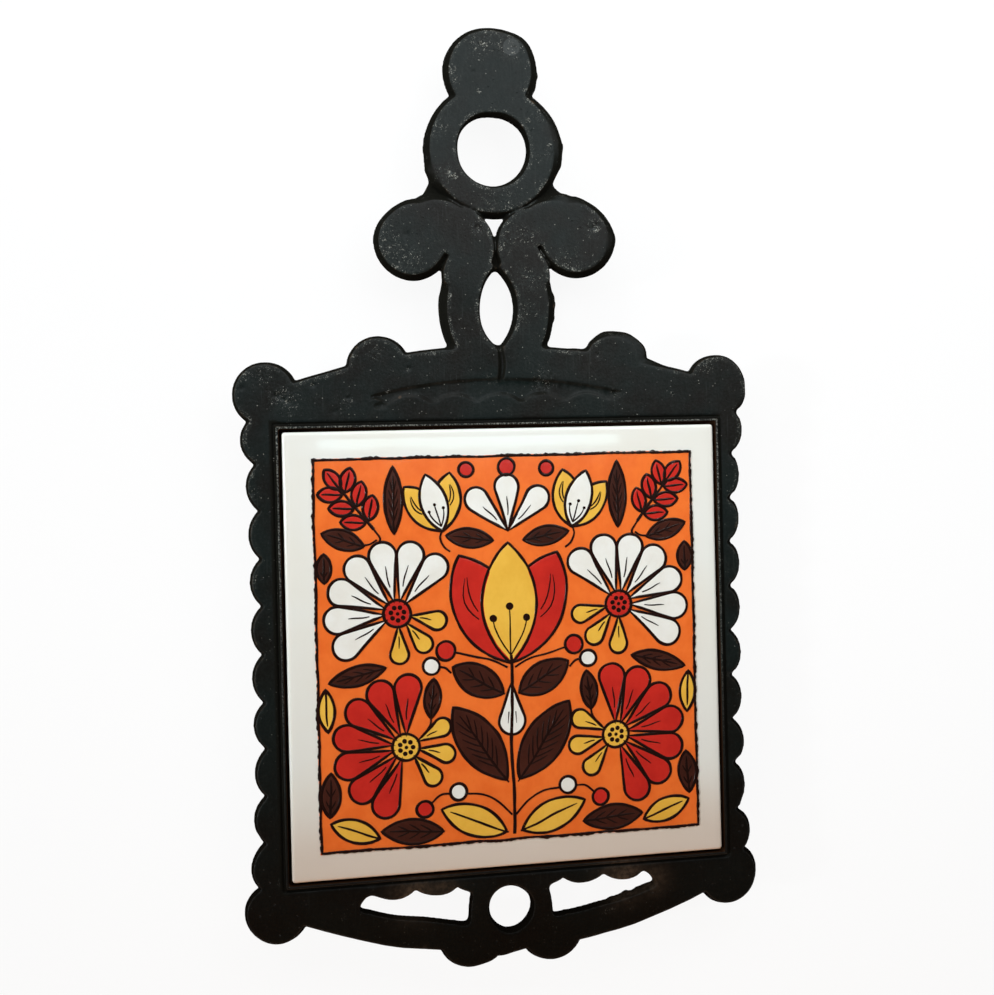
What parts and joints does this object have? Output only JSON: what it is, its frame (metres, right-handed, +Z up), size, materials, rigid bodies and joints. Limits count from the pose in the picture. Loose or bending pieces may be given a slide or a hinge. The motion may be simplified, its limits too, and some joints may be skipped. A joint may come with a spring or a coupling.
{
  "type": "handled trivet",
  "caption": "Cast-iron trivet with a scalloped border, a pierced scroll handle with a hanging ring, and a square printed tile bedded in the middle on four short legs.",
  "frame": {"origin": "centre of the outline, on the surface that the feet stand on", "axes": "+X across the tile, +Y along the handle toward the knob, +Z up"},
  "size_m": [0.18, 0.3228, 0.0207],
  "materials": {
    "iron": "satin black paint over a sand-cast skin",
    "glaze": "glossy off-white glaze",
    "adhesive": "satin silicone",
    "foot_rubber": "matt black",
    "ink_orange": "glossy fired colour",
    "ink_line": "glossy fired colour",
    "ink_red": "glossy fired colour",
    "ink_yellow": "glossy fired colour",
    "ink_white": "glossy fired colour",
    "ink_brown": "glossy fired colour"
  },
  "bodies": {
    "root": {"frame_casting": "iron", "tile": "glaze", "tile_adhesive": "adhesive", "foot_tip_front_left": "foot_rubber", "foot_tip_front_right": "foot_rubber", "foot_tip_back_left": "foot_rubber", "foot_tip_back_right": "foot_rubber", "print_ground": "ink_orange", "print_line": "ink_line", "print_red": "ink_red", "print_yellow": "ink_yellow", "print_white": "ink_white", "print_brown": "ink_brown"}
  },
  "joints": []
}
